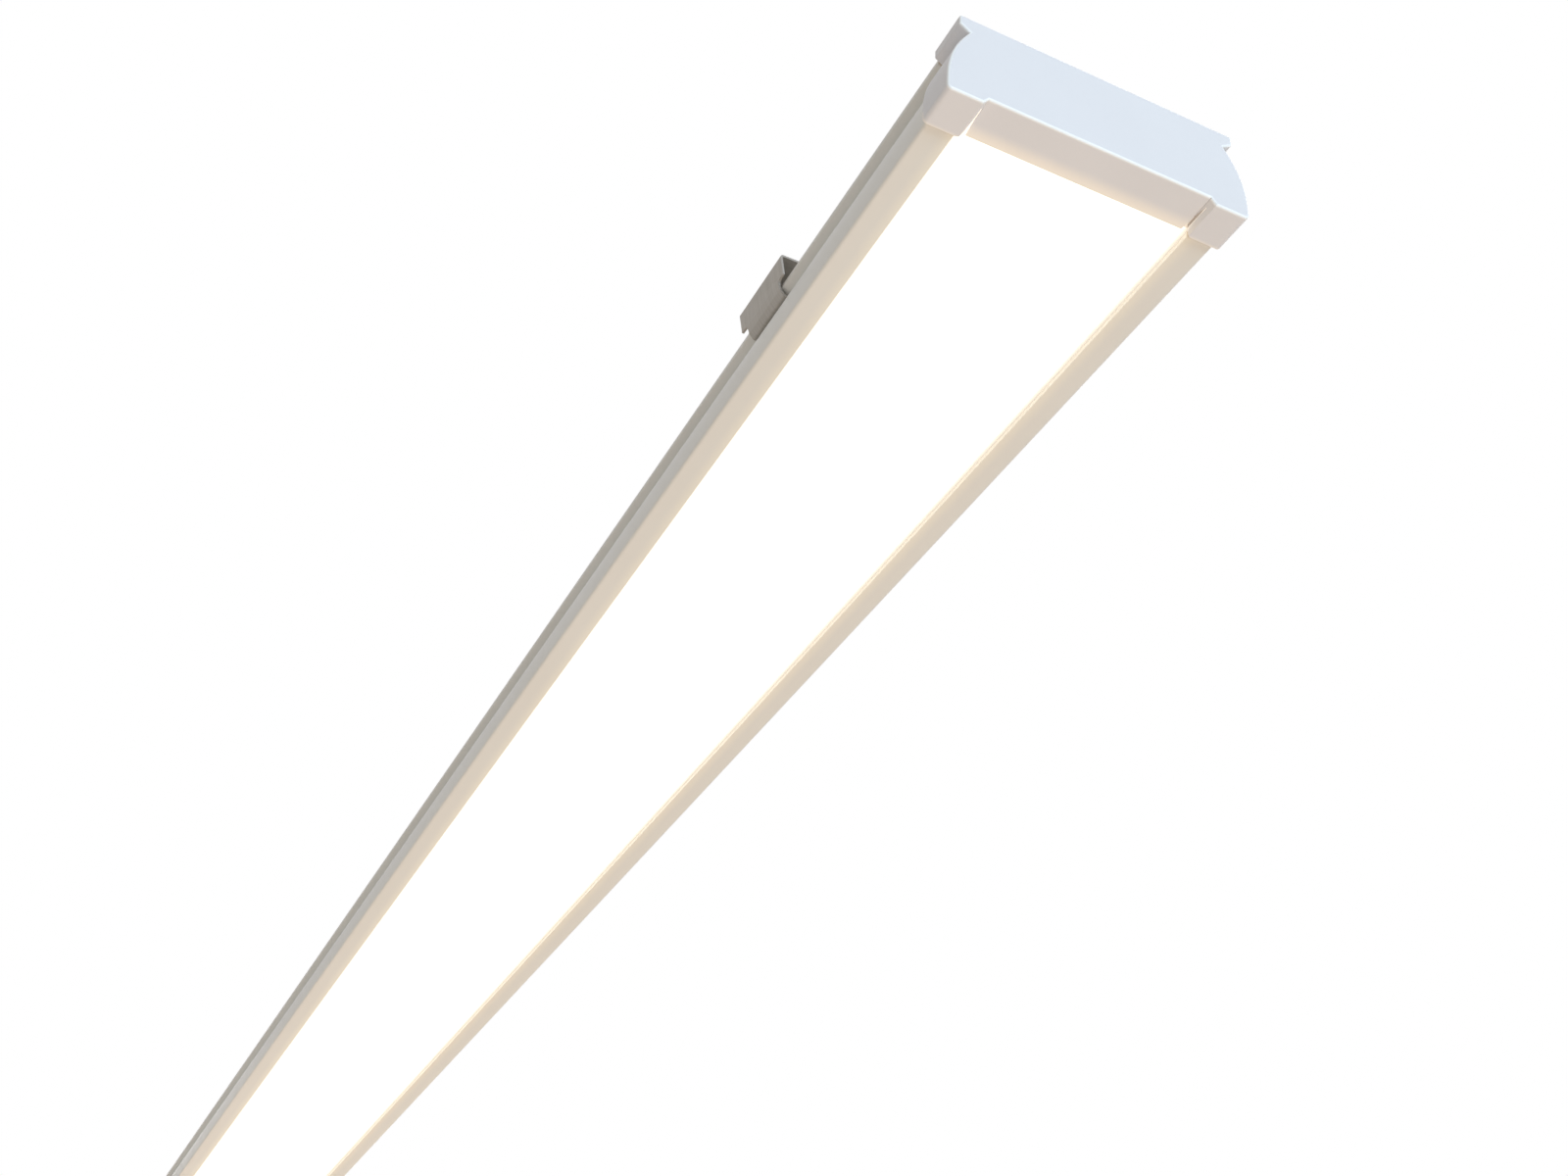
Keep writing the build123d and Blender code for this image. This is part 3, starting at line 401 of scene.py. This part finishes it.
fromRow = addNode(tree, "ShaderNodeMath", subtract, i0=(sideways, 0), i1=lampRow)
offRow = addNode(tree, "ShaderNodeMath", absolute, i0=(fromRow, 0))
inLong = addNode(tree, "ShaderNodeMath", lessThan, i0=(offChip, 0), i1=chip["windowHalf"][0])
inWide = addNode(tree, "ShaderNodeMath", lessThan, i0=(offRow, 0), i1=chip["windowHalf"][1])
window = addNode(tree, "ShaderNodeMath", multiply, i0=(inLong, 0), i1=(inWide, 0))
grain = addNode(tree, "ShaderNodeTexNoise", Vector=(place, "Object"),
                Scale=perMm(chip["grain"]), Detail=chip["grainDetail"])
skin = addNode(tree, "ShaderNodeBump", Height=(grain, 0), Strength=chip["bump"], Distance=chip["bumpDepth"])
tone = addNode(tree, "ShaderNodeMix", colours, i0=(window, 0),
               i6=linear(chip["body"]), i7=linear(chip["phosphor"]))
lit = addNode(tree, "ShaderNodeMath", multiply, i0=(window, 0), i1=chip["level"])
feed(tree, shader, Base_Color=(tone, 2), Normal=(skin, 0), Emission_Strength=(lit, 0))
dress(ledBody, *[name.replace("board", "chips") for name in boardNames])

# plain mouldings that share one make-up: a resin colour, its flow shade and a tool grain
mouldings = {
    "naturalNylonMoulded": {
        "colour": "#E7E0CF", "flow": "#DAD1BC", "rough": 0.46, "grain": 0.5, "flowSize": 5.0,
        "on": ["board_clips", "wire_saddles"],
    },
    "whiteNylonConnector": {
        "colour": "#EFEBDF", "flow": "#E4DFD0", "rough": 0.4, "grain": 0.4, "flowSize": 4.0,
        "on": ["board_links", "lead_connector", "row_link"],
    },
    "whitePolycarbonateMoulded": {
        "colour": "#DEDFDE", "flow": "#D2D4D4", "rough": 0.44, "grain": 0.6, "flowSize": 18.0,
        "on": ["driver_case", "driver_cover"],
    },
    "greyPolyamideMoulded": {
        "colour": "#B9BCBC", "flow": "#ABAFB0", "rough": 0.5, "grain": 0.5, "flowSize": 6.0,
        "on": ["terminal_block"],
    },
    "orangeAcetalMoulded": {
        "colour": "#E57A2B", "flow": "#D86C20", "rough": 0.36, "grain": 0.4, "flowSize": 3.0,
        "on": ["terminal_button_live", "terminal_button_earth", "terminal_button_neutral"],
    },
}
mouldLook = {"ior": 1.53, "detail": 2.0, "bump": 0.15, "bumpDepth": 0.00006}
for name, look in mouldings.items():
    resin, tree, shader = startMaterial(name, Roughness=look["rough"], IOR=mouldLook["ior"])
    place = addNode(tree, "ShaderNodeTexCoord")
    flow = addNode(tree, "ShaderNodeTexNoise", Vector=(place, "Object"),
                   Scale=perMm(look["flowSize"]), Detail=mouldLook["detail"])
    tone = addNode(tree, "ShaderNodeMix", colours, i0=(flow, 0),
                   i6=linear(look["colour"]), i7=linear(look["flow"]))
    grain = addNode(tree, "ShaderNodeTexNoise", Vector=(place, "Object"),
                    Scale=perMm(look["grain"]), Detail=mouldLook["detail"])
    skin = addNode(tree, "ShaderNodeBump", Height=(grain, 0),
                   Strength=mouldLook["bump"], Distance=mouldLook["bumpDepth"])
    feed(tree, shader, Base_Color=(tone, 2), Normal=(skin, 0))
    dress(resin, *look["on"])

# glass-fibre circuit board under green mask: weave in the gloss, lighter tracks
circuit = {
    "mask": "#1F6B3A", "track": "#2F8A4C", "rough": 0.35, "trackSize": 3.2, "trackShare": 0.06,
    "stagger": {"offset": 0.37, "squash": 0.6}, "weave": 0.9, "bump": 0.08, "bumpDepth": 0.00003,
}
circuitBoard, tree, shader = startMaterial("glassFibreCircuitBoard", Roughness=circuit["rough"])
place = addNode(tree, "ShaderNodeTexCoord")
tracks = addNode(tree, "ShaderNodeTexBrick", circuit["stagger"], Vector=(place, "Object"),
                 Scale=perMm(circuit["trackSize"]), Mortar_Size=circuit["trackShare"], Mortar_Smooth=0.0,
                 Color1=linear(circuit["mask"]), Color2=linear(circuit["mask"]),
                 Mortar=linear(circuit["track"]))
weave = addNode(tree, "ShaderNodeTexChecker", Vector=(place, "Object"), Scale=perMm(circuit["weave"]))
skin = addNode(tree, "ShaderNodeBump", Height=(weave, 1),
               Strength=circuit["bump"], Distance=circuit["bumpDepth"])
feed(tree, shader, Base_Color=(tracks, 0), Normal=(skin, 0))
dress(circuitBoard, "driver_board")

# transformer, ferrite core round a taped winding: dull charcoal core, smooth amber tape
coreLow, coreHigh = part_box("driver_transformer")
wound = {
    "core": "#3A3B3D", "tape": "#C99A2E", "coreRough": 0.62, "tapeRough": 0.3,
    "middle": (coreLow.x + coreHigh.x) / 2, "tapeHalf": 0.0052,
    "grit": 0.3, "gritDetail": 2.0, "bump": 0.18, "bumpDepth": 0.00006,
}
ferrite, tree, shader = startMaterial("ferriteCoreTapedWinding")
place = addNode(tree, "ShaderNodeTexCoord")
axes = addNode(tree, "ShaderNodeSeparateXYZ", Vector=(place, "Object"))
taped = addNode(tree, "ShaderNodeMath", within, i0=(axes, "X"), i1=wound["middle"], i2=wound["tapeHalf"])
tone = addNode(tree, "ShaderNodeMix", colours, i0=(taped, 0),
               i6=linear(wound["core"]), i7=linear(wound["tape"]))
rough = addNode(tree, "ShaderNodeMapRange", Value=(taped, 0),
                To_Min=wound["coreRough"], To_Max=wound["tapeRough"])
grit = addNode(tree, "ShaderNodeTexNoise", Vector=(place, "Object"),
               Scale=perMm(wound["grit"]), Detail=wound["gritDetail"])
skin = addNode(tree, "ShaderNodeBump", Height=(grit, 0), Strength=wound["bump"], Distance=wound["bumpDepth"])
feed(tree, shader, Base_Color=(tone, 2), Roughness=(rough, 0), Normal=(skin, 0))
dress(ferrite, "driver_transformer")

# choke, a ferrite drum in a pressed ferrite block: gritty charcoal, the ground drum a little paler and
# smoother, with a ring of amber varnish between the two
chokeLow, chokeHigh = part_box("driver_choke")
choke = {
    "block": "#37383A", "drum": "#4A4B4D", "varnish": "#A8742F", "blockRough": 0.66, "drumRough": 0.42,
    "middle": (chokeLow + chokeHigh) / 2, "drumRadius": 0.0032 + hair, "ringHalf": 0.00018,
    "grit": 0.3, "gritDetail": 2.0, "bump": 0.2, "bumpDepth": 0.00006,
}
pressedFerrite, tree, shader = startMaterial("pressedFerriteDrum")
place = addNode(tree, "ShaderNodeTexCoord")
centred = addNode(tree, "ShaderNodeMapping", Vector=(place, "Object"), Scale=(1, 1, 0),
                  Location=(-choke["middle"].x, -choke["middle"].y, 0))
fromMiddle = addNode(tree, "ShaderNodeVectorMath", {"operation": "LENGTH"}, i0=(centred, 0))
onDrum = addNode(tree, "ShaderNodeMath", lessThan, i0=(fromMiddle, "Value"), i1=choke["drumRadius"])
onRing = addNode(tree, "ShaderNodeMath", within, i0=(fromMiddle, "Value"),
                 i1=choke["drumRadius"] + choke["ringHalf"], i2=choke["ringHalf"])
grit = addNode(tree, "ShaderNodeTexNoise", Vector=(place, "Object"),
               Scale=perMm(choke["grit"]), Detail=choke["gritDetail"])
pressed = addNode(tree, "ShaderNodeMix", colours, i0=(onDrum, 0),
                  i6=linear(choke["block"]), i7=linear(choke["drum"]))
tone = addNode(tree, "ShaderNodeMix", colours, i0=(onRing, 0), i6=(pressed, 2), i7=linear(choke["varnish"]))
rough = addNode(tree, "ShaderNodeMapRange", Value=(onDrum, 0),
                To_Min=choke["blockRough"], To_Max=choke["drumRough"])
skin = addNode(tree, "ShaderNodeBump", Height=(grit, 0), Strength=choke["bump"], Distance=choke["bumpDepth"])
feed(tree, shader, Base_Color=(tone, 2), Roughness=(rough, 0), Normal=(skin, 0))
dress(pressedFerrite, "driver_choke")

# capacitors, aluminium cans in shrunk sleeve: glossy dark blue, a pale stripe along the top
can = {
    "sleeve": "#23283A", "stripe": "#AEB4C0", "rough": 0.28, "stripeDepth": 0.00035,
    "wrinkle": 1.2, "wrinkleDetail": 1.0, "bump": 0.12, "bumpDepth": 0.00006,
}
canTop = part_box("driver_capacitors")[1].z
sleeve, tree, shader = startMaterial("shrunkPvcSleeve", Roughness=can["rough"])
place = addNode(tree, "ShaderNodeTexCoord")
axes = addNode(tree, "ShaderNodeSeparateXYZ", Vector=(place, "Object"))
stripe = addNode(tree, "ShaderNodeMath", moreThan, i0=(axes, "Z"), i1=canTop - can["stripeDepth"])
tone = addNode(tree, "ShaderNodeMix", colours, i0=(stripe, 0),
               i6=linear(can["sleeve"]), i7=linear(can["stripe"]))
wrinkle = addNode(tree, "ShaderNodeTexNoise", Vector=(place, "Object"),
                  Scale=perMm(can["wrinkle"]), Detail=can["wrinkleDetail"])
skin = addNode(tree, "ShaderNodeBump", Height=(wrinkle, 0), Strength=can["bump"], Distance=can["bumpDepth"])
feed(tree, shader, Base_Color=(tone, 2), Normal=(skin, 0))
dress(sleeve, "driver_capacitors")

# plated metals: a bright coat with a faint cloudy cast
platings = {
    "zincPlatedSteel": {
        "colour": "#C6CACD", "cast": "#AEB2B0", "rough": 0.3, "cloud": 2.5,
        "on": ["driver_screws", "earth_screw", "earth_nut"],
    },
    "tinnedBrass": {
        "colour": "#D3D2CC", "cast": "#BDB9AC", "rough": 0.34, "cloud": 2.0,
        "on": ["earth_tag"],
    },
}
platingLook = {"detail": 3.0, "smoother": 0.06, "rougher": 0.1}
for name, look in platings.items():
    plated, tree, shader = startMaterial(name, Metallic=1.0)
    place = addNode(tree, "ShaderNodeTexCoord")
    cloud = addNode(tree, "ShaderNodeTexNoise", Vector=(place, "Object"),
                    Scale=perMm(look["cloud"]), Detail=platingLook["detail"])
    tone = addNode(tree, "ShaderNodeMix", colours, i0=(cloud, 0),
                   i6=linear(look["colour"]), i7=linear(look["cast"]))
    rough = addNode(tree, "ShaderNodeMapRange", Value=(cloud, 0),
                    From_Min=noiseSpan[0], From_Max=noiseSpan[1],
                    To_Min=look["rough"] - platingLook["smoother"],
                    To_Max=look["rough"] + platingLook["rougher"])
    feed(tree, shader, Base_Color=(tone, 2), Roughness=(rough, 0))
    dress(plated, *look["on"])

# wires in extruded PVC: smooth satin skin with a slight ripple, the earth wire in two colours
wires = {
    "wire_live": {"name": "brownPvc", "colour": "#6B4026", "second": "#744A2E"},
    "wire_neutral": {"name": "bluePvc", "colour": "#2B62A8", "second": "#356CB2"},
    "wire_earth": {"name": "greenYellowPvc", "colour": "#2E8B47", "second": "#E3C832"},
    "wire_led_positive": {"name": "redPvc", "colour": "#B3261F", "second": "#BC3229"},
    "wire_led_negative": {"name": "blackPvc", "colour": "#222224", "second": "#2B2B2D"},
}
wireLook = {"rough": 0.42, "ior": 1.53, "ripple": 3.0, "detail": 1.0, "bump": 0.1, "bumpDepth": 0.00008}
for node, look in wires.items():
    pvc, tree, shader = startMaterial(look["name"], Roughness=wireLook["rough"], IOR=wireLook["ior"])
    low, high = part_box(node)
    place = addNode(tree, "ShaderNodeTexCoord")
    axes = addNode(tree, "ShaderNodeSeparateXYZ", Vector=(place, "Object"))
    half = addNode(tree, "ShaderNodeMath", moreThan, i0=(axes, "Y"), i1=(low.y + high.y) / 2)
    tone = addNode(tree, "ShaderNodeMix", colours, i0=(half, 0),
                   i6=linear(look["colour"]), i7=linear(look["second"]))
    ripple = addNode(tree, "ShaderNodeTexNoise", Vector=(place, "Object"),
                     Scale=perMm(wireLook["ripple"]), Detail=wireLook["detail"])
    skin = addNode(tree, "ShaderNodeBump", Height=(ripple, 0),
                   Strength=wireLook["bump"], Distance=wireLook["bumpDepth"])
    feed(tree, shader, Base_Color=(tone, 2), Normal=(skin, 0))
    dress(pvc, node)
print("materials ready:", len(bpy.data.materials))


# finer copies of the parts that show: merged, and their edges broken as the die or the press leaves them
edgeBreaks = {  # width in mm, shortest edge that gets it in mm, body it rides on, finish it takes
    "housing": {"width": 0.25, "shortest": 400.0, "body": "light", "slot": "housing"},
    "mounting_clip_near": {"width": 0.1, "shortest": 0.5, "body": "clip_near", "slot": "clip"},
    "mounting_clip_far": {"width": 0.1, "shortest": 0.5, "body": "clip_far", "slot": "clip"},
}
edgeWork = {
    "merge": 0.000002, "weld": 0.00001, "segments": 2,  # metres, and faces across a break
    "flat": math.radians(0.3), "sharp": math.radians(38), "smooth": math.radians(32),
}
for name, edge in edgeBreaks.items():
    bpy.ops.object.select_all(action="DESELECT")
    piece = bpy.data.objects.new(name + "_finished", nodes[name].data.copy())
    bpy.context.scene.collection.objects.link(piece)
    piece.select_set(True)
    bpy.context.view_layer.objects.active = piece
    bpy.ops.object.mode_set(mode="EDIT")
    bpy.ops.mesh.select_all(action="SELECT")
    bpy.ops.mesh.customdata_custom_splitnormals_clear()
    bpy.ops.mesh.remove_doubles(threshold=edgeWork["merge"])
    bpy.ops.mesh.dissolve_limited(angle_limit=edgeWork["flat"])
    bpy.ops.mesh.select_all(action="DESELECT")
    bpy.ops.mesh.select_mode(type="EDGE")
    shape = bmesh.from_edit_mesh(piece.data)
    for side in shape.edges:
        longEnough = side.calc_length() * 1000 > edge["shortest"]
        if longEnough and abs(side.calc_face_angle_signed(0.0)) > edgeWork["sharp"]:
            side.select_set(True)
    bmesh.update_edit_mesh(piece.data)
    bpy.ops.mesh.bevel(offset=edge["width"] / 1000, segments=edgeWork["segments"])
    bpy.ops.mesh.select_all(action="SELECT")
    bpy.ops.mesh.remove_doubles(threshold=edgeWork["weld"])  # where two breaks meet
    bpy.ops.mesh.dissolve_degenerate(threshold=edgeWork["weld"])
    bpy.ops.object.mode_set(mode="OBJECT")
    bpy.ops.object.shade_smooth_by_angle(angle=edgeWork["smooth"])
    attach(piece, edge["body"])
    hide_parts(name)
print("finished copies:", len(edgeBreaks))


# floor and surroundings: the camera and the reflections see a pale floor and white all round,
# while the object is lit by a softer light
stageLook = {
    "floor": "#F1F0EE", "floorRough": 0.9, "floorDrop": 2.6, "floorSize": 400.0, "floorLift": 0.7,
    "ambient": "#FBF8F3", "ambientLevel": 0.425, "surround": "#FFFFFF", "surroundLevel": 1.0,
}


def backdropRays(tree):  # 1 for a ray that shows the background, 0 for one that lights the object
    path = addNode(tree, "ShaderNodeLightPath")
    seen = addNode(tree, "ShaderNodeMath", larger, i0=(path, "Is Camera Ray"), i1=(path, "Is Glossy Ray"))
    return addNode(tree, "ShaderNodeMath", larger, i0=(seen, 0), i1=(path, "Is Transmission Ray"))


bpy.ops.object.select_all(action="DESELECT")
bpy.ops.mesh.primitive_plane_add(size=stageLook["floorSize"], location=(0, 0, -stageLook["floorDrop"]))
floor = bpy.context.active_object
floor.name = "floor"
bpy.ops.object.transform_apply(location=True)
floorPaint, tree, shader = startMaterial(
    "floorPaint", Base_Color=linear(stageLook["floor"]), Roughness=stageLook["floorRough"])
lift = addNode(tree, "ShaderNodeMath", multiply, i0=(backdropRays(tree), 0), i1=stageLook["floorLift"])
pale = addNode(tree, "ShaderNodeEmission", Color=linear(stageLook["floor"]))
lifted = addNode(tree, "ShaderNodeMixShader", i0=(lift, 0), i1=(shader, 0), i2=(pale, 0))
tree.links.new(lifted.outputs[0], tree.nodes["Material Output"].inputs["Surface"])
floor.data.materials.append(floorPaint)

world = bpy.data.worlds.new("studio")
world.use_nodes = True
bpy.context.scene.world = world
tree = world.node_tree
tree.nodes.clear()
shown = backdropRays(tree)
ambient = addNode(tree, "ShaderNodeBackground",
                  Color=linear(stageLook["ambient"]), Strength=stageLook["ambientLevel"])
white = addNode(tree, "ShaderNodeBackground",
                Color=linear(stageLook["surround"]), Strength=stageLook["surroundLevel"])
mix = addNode(tree, "ShaderNodeMixShader", i0=(shown, 0), i1=(ambient, 0), i2=(white, 0))
addNode(tree, "ShaderNodeOutputWorld", Surface=(mix, 0))

# lamps: a cool soft box facing the near end, a weak warm one below, plain ones above and at the far end
lamps = {
    "endSoftbox": {
        "place": (-2.6, -0.4, -0.3), "aim": (-0.6, 0, -0.02),
        "size": 1.6, "power": 37.5, "colour": "#D4EAFC",
    },
    "lowFill": {
        "place": (0.6, -0.1, -2.0), "aim": (0.3, 0, 0),
        "size": 1.8, "power": 16.8, "colour": "#FFD6A4",
    },
    "topSoftbox": {
        "place": (0.2, -1.5, 1.9), "aim": (0.0, 0, 0),
        "size": 2.0, "power": 24, "colour": "#FFFBF5",
    },
    "farSoftbox": {
        "place": (2.4, -0.4, 0.25), "aim": (0.6, 0, -0.02),
        "size": 1.4, "power": 13, "colour": "#FFFAF4",
    },
}
for name, lamp in lamps.items():
    data = bpy.data.lights.new(name, "AREA")
    data.size = lamp["size"]
    data.energy = lamp["power"]
    data.color = linear(lamp["colour"])[:3]
    lampObject = bpy.data.objects.new(name, data)
    lampObject.location = lamp["place"]
    aim = Vector(lamp["aim"]) - Vector(lamp["place"])
    lampObject.rotation_euler = aim.to_track_quat("-Z", "Y").to_euler()
    bpy.context.scene.collection.objects.link(lampObject)
print("stage and lamps ready")
